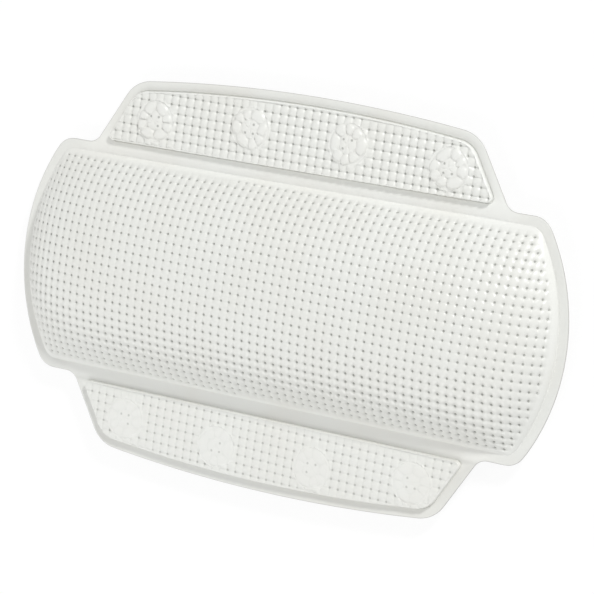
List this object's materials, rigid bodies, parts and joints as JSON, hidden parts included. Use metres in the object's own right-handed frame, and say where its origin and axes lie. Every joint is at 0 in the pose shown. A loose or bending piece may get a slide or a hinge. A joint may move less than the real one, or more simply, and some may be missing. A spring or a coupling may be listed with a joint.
{
  "type": "bath pillow",
  "caption": "Padded bath pillow: a crowned, embossed vinyl cushion with a padded flap along each long side, held to the bathtub by suction cups.",
  "frame": {"origin": "middle of the footprint, on the plane of the pillow's flat back and of the suction cups' lips", "axes": "+X along the pillow's length, +Y towards the upper flap, +Z out of the cushioned face"},
  "size_m": [0.33, 0.2134, 0.0338],
  "materials": {
    "embossed_vinyl": "satin",
    "smooth_vinyl": "satin",
    "cup_vinyl": "gloss",
    "foam": "matte"
  },
  "bodies": {
    "pillow": {"pillow_front_skin": "embossed_vinyl", "pillow_back_skin": "smooth_vinyl", "pillow_foam_core": "foam"},
    "upper_flap": {"upper_flap_front_skin": "embossed_vinyl", "upper_flap_back_skin": "smooth_vinyl", "upper_flap_foam_pad": "foam", "upper_suction_cup_1": "cup_vinyl", "upper_suction_cup_2": "cup_vinyl", "upper_suction_cup_3": "cup_vinyl", "upper_suction_cup_4": "cup_vinyl"},
    "lower_flap": {"lower_flap_front_skin": "embossed_vinyl", "lower_flap_back_skin": "smooth_vinyl", "lower_flap_foam_pad": "foam", "lower_suction_cup_1": "cup_vinyl", "lower_suction_cup_2": "cup_vinyl", "lower_suction_cup_3": "cup_vinyl", "lower_suction_cup_4": "cup_vinyl"}
  },
  "joints": [
    {"name": "upper_flap_fold", "type": "hinge", "parent": "pillow", "child": "upper_flap", "pos_m": [0, 0.0642, 0.0095], "axis": [1, 0, 0], "range_deg": [-90, 60], "stiffness_Nm_per_rad": 0.04},
    {"name": "lower_flap_fold", "type": "hinge", "parent": "pillow", "child": "lower_flap", "pos_m": [0, -0.0642, 0.0095], "axis": [-1, 0, 0], "range_deg": [-90, 60], "stiffness_Nm_per_rad": 0.04}
  ]
}
